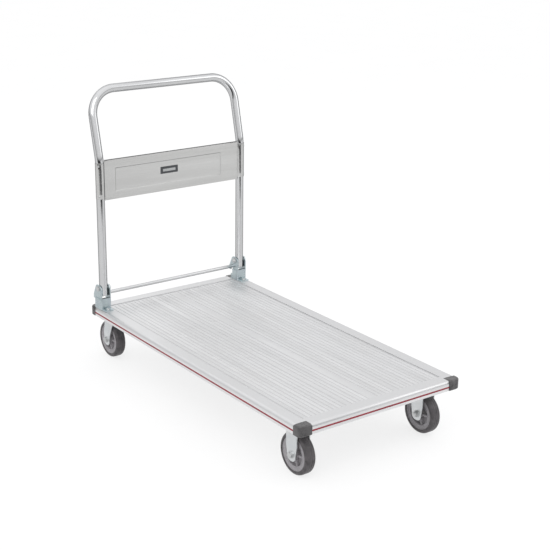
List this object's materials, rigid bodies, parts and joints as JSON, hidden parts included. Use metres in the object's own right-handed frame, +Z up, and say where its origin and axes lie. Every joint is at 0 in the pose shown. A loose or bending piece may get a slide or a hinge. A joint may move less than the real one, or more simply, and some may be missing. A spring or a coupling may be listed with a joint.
{
  "type": "folding platform cart",
  "caption": "Flat aluminium platform cart with a fold-down tube handle, foot release bar, rigid front castors and swivel rear castors.",
  "frame": {"origin": "on the floor under the middle of the whole cart", "axes": "+Z up, +Y from the loading end towards the handle end, X across the deck, +X to the right as seen from the loading end"},
  "size_m": [0.6168, 1.236, 0.9572],
  "materials": {
    "deck_aluminium": "mill-finish extruded aluminium, satin",
    "rail_aluminium": "anodised extruded aluminium, satin",
    "red_strip": "dark red vinyl, satin",
    "cap_plastic": "black moulded plastic, fine grain",
    "black_plastic": "black moulded plastic",
    "chrome_tube": "bright plated steel",
    "panel_steel": "satin grey sheet steel",
    "label": "dark printed plate, plain",
    "bar_zinc": "zinc-plated",
    "blue_zinc": "blue-white zinc plating",
    "tyre_rubber": "dark rubber",
    "wheel_plastic": "dark grey moulded plastic",
    "castor_zinc": "bright zinc plating",
    "member_steel": "grey paint",
    "spring_steel": "spring steel",
    "fastener_steel": "zinc-plated"
  },
  "bodies": {
    "root": {"bracket_bolts": "fastener_steel", "bracket_left": "blue_zinc", "bracket_right": "blue_zinc", "castor_bolts": "fastener_steel", "corner_cap_front_left": "cap_plastic", "corner_cap_front_right": "cap_plastic", "corner_cap_rear_left": "cap_plastic", "corner_cap_rear_right": "cap_plastic", "crossmember_front": "member_steel", "crossmember_middle": "member_steel", "crossmember_rear": "member_steel", "crossmember_rivets": "fastener_steel", "front_left_axle": "fastener_steel", "front_left_fork": "castor_zinc", "front_right_axle": "fastener_steel", "front_right_fork": "castor_zinc", "pivot_bolts": "fastener_steel", "plank_left": "deck_aluminium", "plank_left_edge": "deck_aluminium", "plank_right": "deck_aluminium", "plank_right_edge": "deck_aluminium", "rail_front": "rail_aluminium", "rail_left": "rail_aluminium", "rail_rear": "rail_aluminium", "rail_right": "rail_aluminium", "rear_left_kingpin": "fastener_steel", "rear_left_top_plate": "castor_zinc", "rear_right_kingpin": "fastener_steel", "rear_right_top_plate": "castor_zinc", "return_springs": "spring_steel", "strip_front": "red_strip", "strip_left": "red_strip", "strip_rear": "red_strip", "strip_right": "red_strip"},
    "handle": {"handle_tube": "chrome_tube", "handle_end_plugs": "black_plastic", "handle_pivot_bushes": "fastener_steel", "handle_panel": "panel_steel", "panel_rivets": "fastener_steel", "label_plate": "label"},
    "release": {"release_bar": "bar_zinc"},
    "front_left_wheel": {"front_left_wheel_core": "wheel_plastic", "front_left_tyre": "tyre_rubber", "front_left_wheel_bearing": "fastener_steel"},
    "rear_left_wheel": {"rear_left_wheel_core": "wheel_plastic", "rear_left_tyre": "tyre_rubber", "rear_left_wheel_bearing": "fastener_steel"},
    "rear_left_swivel": {"rear_left_fork": "castor_zinc", "rear_left_axle": "fastener_steel", "rear_left_swivel_balls": "fastener_steel"},
    "front_right_wheel": {"front_right_wheel_core": "wheel_plastic", "front_right_tyre": "tyre_rubber", "front_right_wheel_bearing": "fastener_steel"},
    "rear_right_wheel": {"rear_right_wheel_core": "wheel_plastic", "rear_right_tyre": "tyre_rubber", "rear_right_wheel_bearing": "fastener_steel"},
    "rear_right_swivel": {"rear_right_fork": "castor_zinc", "rear_right_axle": "fastener_steel", "rear_right_swivel_balls": "fastener_steel"}
  },
  "joints": [
    {"name": "handle_fold", "type": "hinge", "parent": "root", "child": "handle", "pos_m": [0, 0.5293, 0.268], "axis": [1, 0, 0], "range_deg": [0, 96]},
    {"name": "release_press", "type": "slide", "parent": "root", "child": "release", "axis": [0, 0, 1], "range_m": [-0.022, 0], "stiffness_N_per_m": 350, "springref_m": 0.03, "deforming": ["return_springs"]},
    {"name": "front_left_wheel_spin", "type": "hinge", "parent": "root", "child": "front_left_wheel", "pos_m": [-0.241, -0.5275, 0.065], "axis": [1, 0, 0], "continuous": true},
    {"name": "rear_left_swivel_turn", "type": "hinge", "parent": "root", "child": "rear_left_swivel", "pos_m": [-0.241, 0.511, 0.15], "axis": [0, 0, 1], "continuous": true},
    {"name": "rear_left_wheel_spin", "type": "hinge", "parent": "rear_left_swivel", "child": "rear_left_wheel", "pos_m": [-0.241, 0.553, 0.065], "axis": [1, 0, 0], "continuous": true},
    {"name": "front_right_wheel_spin", "type": "hinge", "parent": "root", "child": "front_right_wheel", "pos_m": [0.241, -0.5275, 0.065], "axis": [1, 0, 0], "continuous": true},
    {"name": "rear_right_swivel_turn", "type": "hinge", "parent": "root", "child": "rear_right_swivel", "pos_m": [0.241, 0.511, 0.15], "axis": [0, 0, 1], "continuous": true},
    {"name": "rear_right_wheel_spin", "type": "hinge", "parent": "rear_right_swivel", "child": "rear_right_wheel", "pos_m": [0.241, 0.553, 0.065], "axis": [1, 0, 0], "continuous": true}
  ]
}
